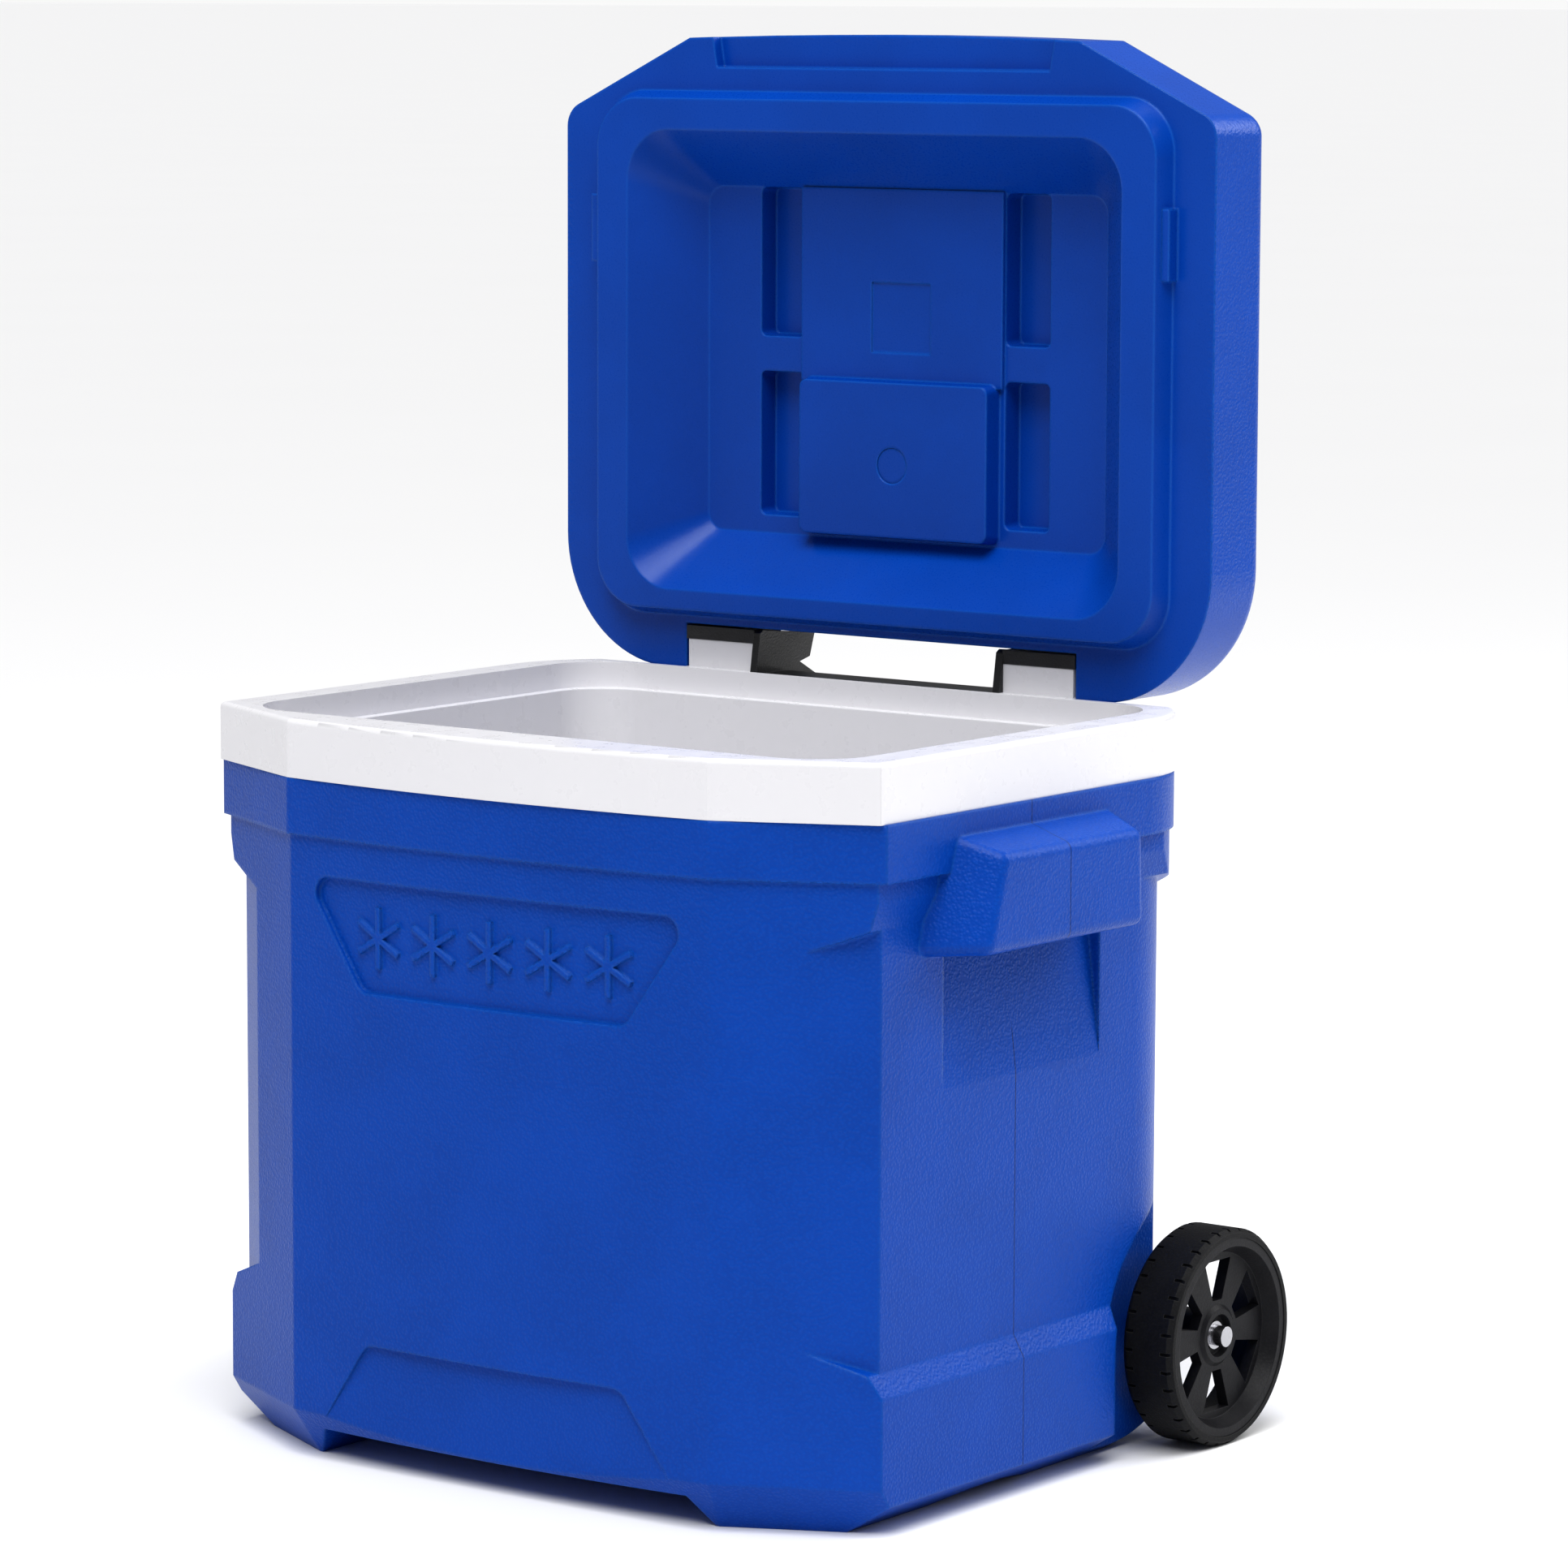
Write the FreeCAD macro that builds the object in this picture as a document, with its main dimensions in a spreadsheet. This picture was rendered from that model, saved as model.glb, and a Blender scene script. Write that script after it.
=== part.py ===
import FreeCAD, Part
import math
import os
import re
import Sketcher
from FreeCAD import Placement, Rotation, Vector

# A small insulated chest on two wheels, its lid standing open at a right angle.
# X runs across the chest, Y from its front to its back, Z up from the ground.
# Every piece is drawn round the middle of the chest, and export moves it back by
# row_shift, so that the origin lies on the ground below the middle of the whole part.

os.makedirs("parts", exist_ok=True)
document = FreeCAD.newDocument("rolling_cooler")
sizes = document.addObject("Spreadsheet::Sheet", "sizes")

SIZES = {
    # the blue outer shell
    "shell_half_width": 188.5,
    "shell_front": -137.5,
    "shell_rear": 161,
    "front_half": 120,
    "front_bow": 6,
    "corner_front": -103,
    "rear_corner_radius": 60,
    "wall": 3,
    "band_grow": 1.9,
    "band_low": 289,
    "seam_height": 314.8,
    "panel_half_width": 182.8,
    "panel_corner_front": -97.5,
    "panel_edge": 135,
    "panel_low": 91,
    "panel_high": 249,
    "panel_corner_low": 72.8,
    "panel_corner_high": 268,
    "step_half_width": 186,
    "step_high": 280,
    "skirt_top": 62.9,
    "bevel_height": 22.1,
    "bevel_width": 14,
    "floor_height": 14,
    "foot_gap_top": 58.6,
    "foot_gap_half_top": 73,
    "foot_gap_half_low": 115,
    "foot_gap_depth": 4.5,
    "arch_rise": 5,
    "arch_half": 39,
    "arch_middle": -1,
    # the badge field on the front
    "badge_top": 271.3,
    "badge_low": 220.5,
    "badge_half_top": 111.2,
    "badge_half_low": 75.8,
    "badge_depth": 3,
    "badge_relief": 1.7,
    "star_reach": 14,
    "star_bar": 2.8,
    "star_step": 33,
    # the grips moulded on both sides
    "grip_face": 211.5,
    "grip_root": 180,
    "grip_low": 254,
    "grip_high": 297,
    "grip_front": -58,
    "grip_rear": 64,
    "grip_wall": 6,
    "grip_root_grow": 15,
    "grip_round": 5,
    "grip_front_lean": 0.31,
    "grip_rear_lean": 0.04,
    "scoop_front": -51,
    "scoop_rear": 71,
    "scoop_low": 191.7,
    "scoop_depth": 7.4,
    # the white liner and its collar
    "collar_half_width": 189.2,
    "collar_front": -139.5,
    "collar_bow": 7.5,
    "collar_corner_front": -107.3,
    "collar_rear": 167,
    "rim_height": 341.7,
    "mouth_half_width": 170,
    "mouth_front": -118,
    "mouth_rear": 144.5,
    "mouth_radius": 30,
    "mouth_depth": 12.5,
    "cavity_half_width": 163,
    "cavity_front": -111,
    "cavity_rear": 137.5,
    "cavity_floor": 72,
    "cavity_draft": 15.5,
    "liner_wall": 2.4,
    # the hinge
    "hinge_back": 157.9,
    "hinge_height": 349.6,
    "pin_radius": 4,
    "pin_inner": 94,
    "pin_outer": 134,
    "running_gap": 0.05,
    "boss_inner": 73.5,
    "boss_outer": 113.5,
    "boss_front": 150,
    "boss_top": 355.3,
    "cap_top": 361.9,
    "cheek_wall": 3.8,
    "strip_low": 336.5,
    "strip_top": 340.8,
    "notch_half": 115,
    "notch_front": 144.7,
    "notch_radius": 15.3,
    "deck_radius": 12.6,
    # the lid, drawn shut
    "lid_half_width": 189.5,
    "lid_front": -139.5,
    "lid_bow": 2,
    "lid_front_half": 113.6,
    "lid_corner_front": -103.5,
    "lid_rear": 167,
    "lid_top": 386,
    "lid_wall": 2.6,
    "lid_corner_radius": 12,
    "foam_gap": 0.15,
    "plug_half_width": 168,
    "plug_front": -115.5,
    "plug_rear": 142.3,
    "plug_drop": 10,
    "plug_radius": 26,
    "plug_draft": 5,
    "well_half_width": 144.5,
    "well_front": -95.5,
    "well_rear": 127.5,
    "well_top": 362,
    "well_draft": 27.5,
    "pocket_inner": 59,
    "pocket_outer": 85.5,
    "pocket_top": 373,
    "front_pocket_low": -68.5,
    "front_pocket_high": 4.5,
    "rear_pocket_low": 20.5,
    "rear_pocket_high": 91.5,
    "block_half_width": 55,
    "block_face": 352.7,
    "block_front": 23.5,
    "block_rear": 97.5,
    "pad_face": 359.7,
    "emblem_half": 17.3,
    "emblem_front": -24,
    "emblem_rear": 9.5,
    "plug_hole_back": 63,
    "foam_plug_radius": 8.5,
    "lip_half_width": 97,
    "lip_depth": 16,
    "lip_rise": 6,
    "tray_depth": 3,
    # the telescoping handle behind the chest
    "tube_half_spacing": 50,
    "tube_back": 206.5,
    "outer_tube_radius": 9.5,
    "middle_tube_radius": 7.4,
    "inner_tube_radius": 5.4,
    "tube_wall": 0.9,
    "tube_bottom": 62,
    "guide_low": 276,
    "guide_top": 296,
    "slide_gap": 0.3,
    "glide_height": 14,
    "collar_height": 6,
    "bar_low": 305,
    "bar_top": 329,
    "bar_half_width": 64,
    "bar_depth": 19.6,
    "foot_bracket_low": 56,
    "foot_bracket_top": 82,
    # the wheels
    "wheel_back": 144,
    "tyre_radius": 50.8,
    "rim_radius": 46.5,
    "wheel_inner": 182.2,
    "wheel_outer": 209.2,
    "web_inner": 196,
    "web_outer": 201.5,
    "hub_radius": 12.5,
    "hub_face": 203,
    "axle_radius": 4,
    "axle_clearance": 0.08,
    "axle_end": 206,
    "well_wall": 172,
    "wheel_arch_radius": 65,
    "lug_count": 36,
    "lug_cut": 1.3,
    # small fixings
    "screw_head_radius": 3.6,
    "screw_head_height": 2,
    "screw_shank_radius": 1.8,
    # the whole part
    "row_shift": 35.75,
}
for row, (alias, amount) in enumerate(SIZES.items(), start=1):
    sizes.set("A%d" % row, alias)
    sizes.set("B%d" % row, str(amount))
    sizes.setAlias("B%d" % row, alias)
document.recompute()


# ---------------------------------------------------------------- drawing helpers
def linked(text):
    """An expression in sheet names, with each name tied to the sheet."""
    return re.sub(r"[a-z_]+", lambda m: "sizes." + m.group(0) if m.group(0) in SIZES else m.group(0), text)


def number(text):
    amount = sizes.evalExpression(text)
    return float(getattr(amount, "Value", amount))


def origin_plane(body, role):
    return next(item for item in body.Origin.OriginFeatures if item.Role == role)


def new_body(name):
    return document.addObject("PartDesign::Body", name)


def draw(body, name, plane, corners, height="0"):
    """A closed outline, counterclockwise. A corner with a third entry starts an arc
    that bows out by that much; its fourth entry is half the arc's chord."""
    sketch = body.newObject("Sketcher::SketchObject", name)
    sketch.AttachmentSupport = (origin_plane(body, plane), [""])
    sketch.MapMode = "FlatFace"
    sketch.setExpression("AttachmentOffset.Base.z", linked(height))
    points = [Vector(number(corner[0]), number(corner[1]), 0) for corner in corners]
    count = len(points)
    for index, corner in enumerate(corners):
        start = points[index]
        end = points[(index + 1) % count]
        if len(corner) > 2:
            along = (end - start).normalize()
            outward = Vector(along.y, -along.x, 0)
            middle = (start + end) * 0.5 + outward * number(corner[2])
            sketch.addGeometry(Part.Arc(start, middle, end), False)
        else:
            sketch.addGeometry(Part.LineSegment(start, end), False)
    for index in range(count):
        sketch.addConstraint(Sketcher.Constraint("Coincident", index, 2, (index + 1) % count, 1))
    for index, corner in enumerate(corners):
        for axis, text in (("X", corner[0]), ("Y", corner[1])):
            made = sketch.addConstraint(
                Sketcher.Constraint("Distance" + axis, -1, 1, index, 1, number(text)))
            sketch.renameConstraint(made, "corner%s%d" % (axis, index))
            sketch.setExpression("Constraints.corner%s%d" % (axis, index), linked(text))
        if len(corner) > 2:
            radius = "((%s)^2 + (%s)^2) / (2 * (%s))" % (corner[3], corner[2], corner[2])
            made = sketch.addConstraint(Sketcher.Constraint("Radius", index, number(radius)))
            sketch.renameConstraint(made, "bow%d" % index)
            sketch.setExpression("Constraints.bow%d" % index, linked(radius))
    return sketch


def draw_circle(body, name, plane, across, up, radius, height="0"):
    sketch = body.newObject("Sketcher::SketchObject", name)
    sketch.AttachmentSupport = (origin_plane(body, plane), [""])
    sketch.MapMode = "FlatFace"
    sketch.setExpression("AttachmentOffset.Base.z", linked(height))
    centre = Vector(number(across), number(up), 0)
    sketch.addGeometry(Part.Circle(centre, Vector(0, 0, 1), number(radius)), False)
    for kind, text in (("DistanceX", across), ("DistanceY", up), ("Radius", radius)):
        if kind == "Radius":
            made = sketch.addConstraint(Sketcher.Constraint(kind, 0, number(text)))
        else:
            made = sketch.addConstraint(Sketcher.Constraint(kind, -1, 1, 0, 3, number(text)))
        sketch.renameConstraint(made, "ring" + kind)
        sketch.setExpression("Constraints.ring" + kind, linked(text))
    return sketch


def pad(body, sketch, length, taper=None, both=False, back=False):
    """Thicken an outline. A positive taper widens it along the way."""
    feature = body.newObject("PartDesign::Pad", sketch.Name + "_pad")
    feature.Profile = sketch
    feature.setExpression("Length", linked(length))
    feature.Reversed = back
    if both:
        feature.SideType = "Symmetric"
    if taper:
        feature.setExpression("TaperAngle", linked(taper))
    document.recompute()
    return feature


def round_edges(body, radius, chosen):
    """Round those edges of the body that the test picks."""
    tip = body.Tip
    names = ["Edge%d" % (index + 1) for index, edge in enumerate(tip.Shape.Edges) if chosen(edge)]
    feature = body.newObject("PartDesign::Fillet", body.Name + "_round")
    feature.Base = (tip, names)
    feature.setExpression("Radius", linked(radius))
    document.recompute()
    return feature


def bevel_edges(body, climb, inset, chosen):
    """Slope those edges off, climb upward and inset inward."""
    tip = body.Tip
    names = ["Edge%d" % (index + 1) for index, edge in enumerate(tip.Shape.Edges) if chosen(edge)]
    feature = body.newObject("PartDesign::Chamfer", body.Name + "_bevel")
    feature.Base = (tip, names)
    feature.ChamferType = "Two distances"
    feature.setExpression("Size", linked(inset))
    feature.setExpression("Size2", linked(climb))
    document.recompute()
    return feature


def upright(edge):
    """True for an edge that climbs more than it runs sideways."""
    if len(edge.Vertexes) < 2:
        return False
    along = edge.Vertexes[1].Point - edge.Vertexes[0].Point
    return abs(along.z) > 0.7 * along.Length


def upright_behind(limit):
    return lambda edge: upright(edge) and edge.CenterOfMass.y > limit


def upright_near(place):
    """Picks the upright edges of the two corners at that distance back."""
    return lambda edge: upright(edge) and abs(edge.CenterOfMass.y - place) < 6


def at_height(level):
    return lambda edge: abs(edge.BoundBox.ZMin - level) < 0.01 and abs(edge.BoundBox.ZMax - level) < 0.01


def box(name, left, right, front, rear, low, high):
    item = document.addObject("Part::Box", name)
    for side, start, end in (("Length", left, right), ("Width", front, rear), ("Height", low, high)):
        item.setExpression(side, linked("(%s) - (%s)" % (end, start)))
    for axis, start in (("x", left), ("y", front), ("z", low)):
        item.setExpression("Placement.Base." + axis, linked(start))
    document.recompute()
    return item


def rod(name, radius, start, end, across, up, along="X"):
    """A cylinder along X, Y or Z from start to end. across and up place its centre line in
    the plane it crosses: (Y, Z) for a rod along X, (X, Z) along Y and (X, Y) along Z."""
    item = document.addObject("Part::Cylinder", name)
    turns = {"X": Rotation(Vector(0, 1, 0), 90), "Y": Rotation(Vector(1, 0, 0), -90), "Z": Rotation()}
    places = {"X": (start, across, up), "Y": (across, start, up), "Z": (across, up, start)}
    item.Placement = Placement(Vector(), turns[along])
    item.setExpression("Radius", linked(radius))
    item.setExpression("Height", linked("(%s) - (%s)" % (end, start)))
    for axis, text in zip("xyz", places[along]):
        item.setExpression("Placement.Base." + axis, linked(text))
    document.recompute()
    return item


def fuse(name, *pieces):
    item = document.addObject("Part::MultiFuse", name)
    item.Shapes = list(pieces)
    item.Refine = True
    document.recompute()
    return item


def cut(name, base, *tools):
    item = document.addObject("Part::Cut", name)
    item.Base = base
    item.Tool = tools[0] if len(tools) == 1 else fuse(name + "_tools", *tools)
    item.Refine = True
    document.recompute()
    return item


def common(name, first, second):
    item = document.addObject("Part::Common", name)
    item.Base = first
    item.Tool = second
    document.recompute()
    return item


def mirrored(name, source):
    item = document.addObject("Part::Mirroring", name)
    item.Source = source
    item.Normal = Vector(1, 0, 0)
    document.recompute()
    return item


def prism(name, plane, corners, start, length, taper=None, both=False, back=False):
    body = new_body(name)
    pad(body, draw(body, name + "_outline", plane, corners, start), length, taper, both, back)
    return body


def rounded_outline(half_width, front, rear, radius):
    """A rectangle on the level with round corners, each a quarter turn."""
    left, right = "-(%s)" % half_width, "(%s)" % half_width
    bow = "(%s) * (1 - sqrt(0.5))" % radius
    chord = "(%s) * sqrt(0.5)" % radius
    return [("%s + (%s)" % (left, radius), front),
            ("%s - (%s)" % (right, radius), front, bow, chord), (right, "%s + (%s)" % (front, radius)),
            (right, "%s - (%s)" % (rear, radius), bow, chord), ("%s - (%s)" % (right, radius), rear),
            ("%s + (%s)" % (left, radius), rear, bow, chord), (left, "%s - (%s)" % (rear, radius)),
            (left, "%s + (%s)" % (front, radius), bow, chord)]


def rounded_block(name, half_width, front, rear, low, high, radius):
    return prism(name, "XY_Plane", rounded_outline(half_width, front, rear, radius), low,
                 "(%s) - (%s)" % (high, low))


def drafted_block(name, half_width, front, rear, start, end, radius, inset, end_radius):
    """A rounded block that narrows by inset on every side between two heights."""
    body = new_body(name)
    wide = draw(body, name + "_wide", "XY_Plane", rounded_outline(half_width, front, rear, radius), start)
    narrow = draw(body, name + "_narrow", "XY_Plane",
                  rounded_outline("%s - (%s)" % (half_width, inset), "%s + (%s)" % (front, inset),
                                  "%s - (%s)" % (rear, inset), end_radius), end)
    loft = body.newObject("PartDesign::AdditiveLoft", name + "_loft")
    loft.Profile = wide
    loft.Sections = [narrow]
    loft.Ruled = True
    document.recompute()
    return body


nodes = []


def keep(item, label, turn=None):
    """Name a finished piece and put it in the part's own frame."""
    shift = Vector(0, -number("row_shift"), 0)
    item.Label = label
    item.Placement = Placement(shift, Rotation()) if turn is None else Placement(shift, Rotation()) * turn
    nodes.append(item)


# ---------------------------------------------------------------- outlines seen from above
FRONT_MITRE = "0.24"
SIDE_MITRE = "0.62"


def chest_outline(half_width, front, front_half, bow, corner, rear, skin="0"):
    """The chest's plan: a bowed front, two slanting front corners and a square rear, drawn
    in by the skin's thickness. The rear corners are rounded after it is padded."""
    side = "(%s) - (%s)" % (half_width, skin)
    inner = "(%s) - %s * (%s)" % (front_half, FRONT_MITRE, skin)
    face = "(%s) + (%s)" % (front, skin)
    turn = "(%s) + %s * (%s)" % (corner, SIDE_MITRE, skin)
    back = "(%s) - (%s)" % (rear, skin)
    return [("-(%s)" % inner, face, bow, inner), (inner, face), (side, turn), (side, back),
            ("-(%s)" % side, back), ("-(%s)" % side, turn)]


def chest_prism(name, outline, start, length, radius, taper=None, back=False):
    body = prism(name, "XY_Plane", outline, start, length, taper, back=back)
    round_edges(body, radius, upright_behind(0))
    return body


def shell_outline(skin):
    return chest_outline("shell_half_width", "shell_front", "front_half", "front_bow",
                         "corner_front", "shell_rear", skin)


# ---------------------------------------------------------------- blue outer shell
def shell_form(name, skin):
    """The shell as one full solid, drawn in by skin: the outside at 0, the foam's room at
    the wall's thickness."""
    radius = "rear_corner_radius - (%s)" % skin
    main = chest_prism(name + "_main", shell_outline(skin), skin, "seam_height - (%s)" % skin, radius)
    bevel_edges(main, "bevel_height - (%s)" % skin, "bevel_width - (%s) * 0.6" % skin,
                at_height(number(skin)))
    band = chest_prism(name + "_band", shell_outline("(%s) - band_grow" % skin), "band_low",
                       "seam_height - band_low", "rear_corner_radius + band_grow - (%s)" % skin)
    full = fuse(name + "_full", main, band)

    # the sunk side panel runs round the slanting corner; its upper and lower edges slope
    panel = chest_prism(
        name + "_panel",
        chest_outline("panel_half_width", "shell_front", "panel_edge", "front_bow * 0.6",
                      "panel_corner_front", "shell_rear - 4", skin),
        "0", "band_low", "rear_corner_radius - 4 - (%s)" % skin)
    reach = "shell_half_width + 30"
    in_by = " - (%s)" % skin
    slope = [("panel_edge - 0.8 * (%s)" % skin, "panel_low - 1.2 * (%s)" % skin),
             ("panel_half_width" + in_by, "panel_corner_low - 0.7 * (%s)" % skin),
             ("shell_half_width" + in_by, "skirt_top - 0.7 * (%s)" % skin),
             (reach, "skirt_top - 0.7 * (%s)" % skin), (reach, "band_low + (%s)" % skin),
             ("step_half_width" + in_by, "band_low + (%s)" % skin),
             ("step_half_width" + in_by, "step_high + 0.3 * (%s)" % skin),
             ("panel_half_width" + in_by, "panel_corner_high + 0.3 * (%s)" % skin),
             ("panel_edge - 0.8 * (%s)" % skin, "panel_high + 1.2 * (%s)" % skin)]
    window = prism(name + "_window", "XZ_Plane", slope, "0", "900", both=True)
    ring = cut(name + "_ring", window, panel)

    # the wheels stand in open corners at the back
    wall_side = "well_wall - (%s)" % skin
    arch = rod(name + "_arch", "wheel_arch_radius + (%s)" % skin, wall_side, "shell_half_width + 20",
               "wheel_back", "tyre_radius")
    corner = box(name + "_corner", wall_side, "shell_half_width + 20",
                 "wheel_back - wheel_arch_radius - (%s)" % skin, "shell_rear + 20", "-1", "tyre_radius")
    side_cut = fuse(name + "_side_cut", ring, arch, corner)

    # the underside is raised between the two side rails, and the front between the feet
    low = "floor_height + (%s)" % skin
    gap_half = "foot_gap_half_low + (%s)" % skin
    underside = prism(name + "_underside", "XZ_Plane",
                      [("-(%s)" % gap_half, "-1"), (gap_half, "-1"),
                       ("(%s) - floor_height * 0.72" % gap_half, low),
                       ("floor_height * 0.72 - (%s)" % gap_half, low)], "0", "900", both=True)
    front_gap = prism(name + "_front_gap", "XZ_Plane",
                      [("-(%s)" % gap_half, "-1"), (gap_half, "-1"),
                       ("foot_gap_half_top + (%s)" % skin, "foot_gap_top + (%s)" % skin),
                       ("-foot_gap_half_top - (%s)" % skin, "foot_gap_top + (%s)" % skin)],
                      "-(shell_front - front_bow + foot_gap_depth + (%s))" % skin, "60")
    round_edges(front_gap, "9", lambda edge: isinstance(edge.Curve, Part.Line)
                and abs(edge.tangentAt(0).y) > 0.9 and edge.CenterOfMass.z > number("floor_height"))
    arch_half = "arch_half + (%s)" % skin
    rail_arch = prism(name + "_rail_arch", "YZ_Plane",
                      [("arch_middle + " + arch_half, "-0.5", "arch_rise + 0.5 + (%s)" % skin, arch_half),
                       ("arch_middle - (%s)" % arch_half, "-0.5")], "0", "900", both=True)
    return cut(name + "_form", full, side_cut, mirrored(name + "_other_side", side_cut),
               underside, front_gap, rail_arch)


def side_grip():
    """A drafted block on the shell's side: flat faces between a large root and a smaller
    outer face, with the outer edges rounded."""
    ends = []
    for out, grow, drop, rise in (("grip_root", 1, 2, 11), ("grip_face", 0, 0, 0)):
        low = number("grip_low") - drop
        high = number("grip_high") + rise
        front = number("grip_front") - number("grip_root_grow") * grow
        rear = number("grip_rear") + number("grip_root_grow") * 0.6 * grow
        front_top = front + number("grip_front_lean") * (high - low)
        rear_top = rear - number("grip_rear_lean") * (high - low)
        corners = ((front, low), (rear, low), (rear_top, high), (front_top, high))
        ends.append([Vector(number(out), back, up) for back, up in corners])
    root, outer = ends
    rings = [root[::-1], outer] + [[root[i], root[(i + 1) % 4], outer[(i + 1) % 4], outer[i]] for i in range(4)]
    block = Part.Solid(Part.Shell([Part.Face(Part.makePolygon(ring + ring[:1])) for ring in rings]))
    outside = [edge for edge in block.Edges if edge.BoundBox.XMax > number("grip_face") - 0.01]
    grip = document.addObject("Part::Feature", "grip_block")
    grip.Shape = block.makeFillet(number("grip_round"), outside)
    return grip


def finger_scoop(name, skin):
    root = "panel_half_width - scoop_depth - (%s)" % skin
    side = "panel_half_width + 0.01"
    length = "scoop_rear - scoop_front + 2 * (%s)" % skin
    body = new_body(name)
    outline = draw(body, name + "_outline", "XZ_Plane",
                   [(root, "grip_low"), (side, "scoop_low - (%s)" % skin),
                    ("grip_root + 9", "scoop_low - (%s)" % skin), ("grip_root + 9", "grip_high - 10"),
                    (root, "grip_high - 10 + (%s)" % skin)],
                   "-(scoop_rear + (%s))" % skin)
    pad(body, outline, length)
    return body


def grip_hollow():
    return box("grip_hollow", "grip_root + 2", "grip_face - grip_wall", "grip_front + 13",
               "grip_rear - 7", "grip_low - 30", "grip_high - 10")


def badge_field(name, depth, grow):
    """A slab that reaches depth behind the bowed front face, trapezoid from the front."""
    low, top = "badge_low - (%s)" % grow, "badge_top + (%s)" % grow
    half_low, half_top = "badge_half_low + 1.3 * (%s)" % grow, "badge_half_top + 1.3 * (%s)" % grow
    trapezoid = prism(name + "_trapezoid", "XZ_Plane",
                      [("-(%s)" % half_low, low), (half_low, low), (half_top, top),
                       ("-(%s)" % half_top, top)], "-(shell_front + 14)", "60")
    round_edges(trapezoid, "8", lambda edge: isinstance(edge.Curve, Part.Line)
                and abs(edge.tangentAt(0).y) > 0.9)
    behind = chest_prism(name + "_behind", shell_outline(depth), "badge_low - 9",
                         "badge_top - badge_low + 18", "rear_corner_radius - 5")
    return cut(name, trapezoid, behind)


def snow_stars():
    """A row of plain six-armed crystals that stand out of the badge field."""
    bars = []
    for place in range(-2, 3):
        for turn in (0, 60, 120):
            bar = document.addObject("Part::Box", "star_bar")
            bar.setExpression("Length", linked("2 * star_reach"))
            bar.setExpression("Width", "16")
            bar.setExpression("Height", linked("star_bar"))
            angle = math.radians(turn + 90)
            away = "star_step * %d" % place
            middle = "(badge_low + badge_top) / 2"
            bar.Placement = Placement(Vector(), Rotation(Vector(0, 1, 0), -(turn + 90)))
            bar.setExpression("Placement.Base.x", linked(
                "%s - star_reach * %.6f + star_bar / 2 * %.6f" % (away, math.cos(angle), math.sin(angle))))
            bar.setExpression("Placement.Base.y", linked("shell_front - front_bow - 2"))
            bar.setExpression("Placement.Base.z", linked(
                "%s - star_reach * %.6f - star_bar / 2 * %.6f" % (middle, math.sin(angle), math.cos(angle))))
            bars.append(bar)
    document.recompute()
    raised = chest_prism("star_limit", shell_outline("badge_depth - badge_relief"), "badge_low - 5",
                         "badge_top - badge_low + 10", "rear_corner_radius - 5")
    return cut("snow_stars", common("star_faces", fuse("star_bars", *bars), raised), foam_room())


def outer_shell():
    """The blue shell: the outside form less the foam's room, with its grips and badge."""
    outside = shell_form("outside", "0")
    room = foam_room()
    grip = side_grip()
    scoop = finger_scoop("scoop", "0")
    tunnel = rod("tunnel_wall", "axle_radius + 4.5", "-(well_wall + 8)", "well_wall + 8",
                 "wheel_back", "tyre_radius")
    bore = rod("tunnel_bore", "axle_radius + running_gap", "-(well_wall + 20)", "well_wall + 20",
               "wheel_back", "tyre_radius")
    solid = fuse("shell_solid", outside, grip, mirrored("other_grip", grip))
    body = fuse("shell_body", cut("shell_walls", solid, room), tunnel)
    hollow = grip_hollow()
    plug_hole = rod("base_plug_hole", "foam_plug_radius + 3", "0", "floor_height + wall + 1", "0", "0", "Z")
    shell = cut("shell_cut", body, scoop, mirrored("other_scoop", scoop), hollow,
                mirrored("other_hollow", hollow), bore, badge_field("badge_field", "badge_depth", "0"),
                plug_hole, *fixing_holes())
    keep(fuse("outer_shell_solid", shell, snow_stars()), "outer_shell")


shared = {}


def foam_room():
    """The space between shell and liner, up to the seam."""
    if "room" not in shared:
        inside = shell_form("inside", "wall")
        scoop = finger_scoop("scoop_back", "wall")
        badge = badge_field("badge_back", "badge_depth + wall", "wall")
        shared["room"] = cut("foam_room", inside, scoop, mirrored("other_scoop_back", scoop), badge)
    return shared["room"]


def fixing_holes():
    """Screw holes in the rear wall for the handle's two brackets."""
    holes = []
    for side in (-1, 1):
        for name, up in (("upper", "guide_low + 10"), ("lower", "foot_bracket_low + 13")):
            holes.append(rod("%s_hole" % name, "screw_shank_radius", "shell_rear - 12",
                             "shell_rear + 6", "%d * 28" % side, up, "Y"))
    return holes


# ---------------------------------------------------------------- white liner
def cavity(name, skin):
    """The liner's hollow, grown by skin: a shallow seat for the lid's plug over a drafted box."""
    seat = rounded_block(name + "_seat", "mouth_half_width + (%s)" % skin, "mouth_front - (%s)" % skin,
                         "mouth_rear + (%s)" % skin, "rim_height - mouth_depth - (%s)" % skin,
                         "rim_height + 1", "mouth_radius + (%s)" % skin)
    deep = drafted_block(name + "_deep", "cavity_half_width + (%s)" % skin,
                         "cavity_front - (%s)" % skin, "cavity_rear + (%s)" % skin,
                         "rim_height - mouth_depth", "cavity_floor - (%s)" % skin,
                         "mouth_radius - 4 + (%s)" % skin, "cavity_draft", "mouth_radius - 8")
    round_edges(deep, "12", at_height(number("cavity_floor - (%s)" % skin)))
    return fuse(name, seat, deep)


def collar_outline(skin):
    return chest_outline("collar_half_width", "collar_front", "front_half", "collar_bow",
                         "collar_corner_front", "collar_rear", skin)


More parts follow.
